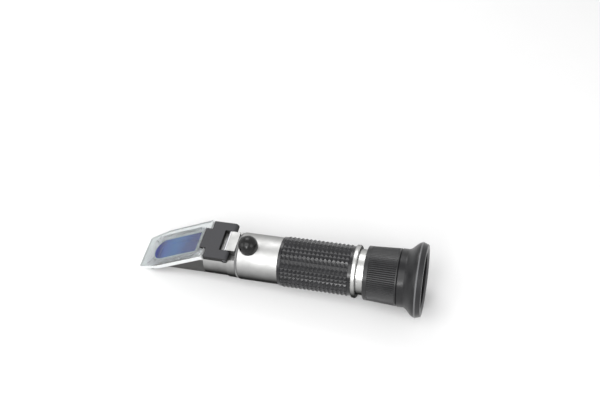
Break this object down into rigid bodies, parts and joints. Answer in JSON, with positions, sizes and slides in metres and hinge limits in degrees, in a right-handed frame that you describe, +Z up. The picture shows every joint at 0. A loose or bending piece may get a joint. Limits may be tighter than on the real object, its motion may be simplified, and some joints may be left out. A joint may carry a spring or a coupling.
{
  "type": "hand-held refractometer",
  "caption": "Tubular optical hand refractometer with a bevelled prism head, hinged clear daylight plate, studded rubber grip, ribbed focus ring and flared eyecup.",
  "frame": {"origin": "on the optical axis, at the middle of the rubber grip", "axes": "+X along the optical axis towards the eyepiece, +Z up through the prism face and the calibration cap's side, -Y towards the side that the cap leans to"},
  "size_m": [0.1625, 0.0404, 0.0405],
  "materials": {
    "satin_metal": "satin nickel plate",
    "polished_metal": "polished plate",
    "polished_steel": "ground and polished",
    "brass": "turned",
    "bimetal": "rolled strip",
    "black_anodised": "matt black anodised",
    "focus_black": "black anodised, ribbed",
    "grip_rubber": "moulded studs",
    "eyecup_rubber": "smooth moulded",
    "cap_rubber": "glossy moulded",
    "seal_rubber": "moulded",
    "cement": "cured bead",
    "grey_plastic": "moulded, matt",
    "clear_plastic": "clear polished acrylic",
    "blue_glass": "polished prism with a blue backed base",
    "clear_glass": "polished"
  },
  "bodies": {
    "main_tube": {"prism_head": "satin_metal", "main_prism": "blue_glass", "prism_gasket": "cement", "hinge_pin": "polished_steel", "aperture_stop": "black_anodised", "head_o_ring": "seal_rubber", "barrel": "satin_metal", "rubber_grip": "grip_rubber", "rear_collar": "polished_metal", "anchor_block": "brass", "anchor_screws": "polished_steel", "screw_bush": "brass", "reticle_holder": "black_anodised", "reticle": "clear_glass", "reticle_ring": "black_anodised"},
    "daylight_flap": {"plate_bracket": "grey_plastic", "daylight_plate": "clear_plastic"},
    "calibration_screw_body": {"calibration_screw": "brass"},
    "calibration_cap_body": {"calibration_cap": "cap_rubber"},
    "objective_lever": {"bimetal_strip": "bimetal", "objective_cell": "black_anodised", "objective_crown": "clear_glass", "objective_flint": "clear_glass", "strip_rivets": "brass", "objective_ring": "black_anodised"},
    "focus_drive": {"focus_o_ring": "seal_rubber"},
    "eyepiece": {"focus_ring": "focus_black", "eyecup": "eyecup_rubber", "draw_tube": "black_anodised", "field_lens": "clear_glass", "eye_lens": "clear_glass", "lens_spacer": "black_anodised", "eyepiece_ring": "black_anodised"}
  },
  "joints": [
    {"name": "plate_hinge", "type": "hinge", "parent": "main_tube", "child": "daylight_flap", "pos_m": [-0.049, 0, 0.0104], "axis": [0, 1, 0], "range_deg": [0, 105]},
    {"name": "focus_turn", "type": "hinge", "parent": "focus_drive", "child": "eyepiece", "pos_m": [0.03, 0, 0], "axis": [1, 0, 0], "range_deg": [-180, 180]},
    {"name": "focus_travel", "type": "slide", "parent": "main_tube", "child": "focus_drive", "axis": [1, 0, 0], "range_m": [-0.003, 0.003]},
    {"name": "calibration_turn", "type": "hinge", "parent": "main_tube", "child": "calibration_screw_body", "pos_m": [-0.0373, 0, 0], "axis": [0, -0.1736, 0.9848], "range_deg": [-180, 180]},
    {"name": "objective_swing", "type": "hinge", "parent": "main_tube", "child": "objective_lever", "pos_m": [-0.013, -0.00159, 0.00901], "axis": [0, 0.9848, 0.1736], "range_deg": [-0.54, 0.54]},
    {"name": "cap_pull", "type": "slide", "parent": "main_tube", "child": "calibration_cap_body", "axis": [0, -0.1736, 0.9848], "range_m": [0, 0.01]}
  ],
  "couplings": [
    {"joint": "focus_travel", "follows": "focus_turn", "m_per_rad": 0.000954},
    {"joint": "calibration_turn", "follows": "objective_swing", "ratio": 333.3}
  ]
}
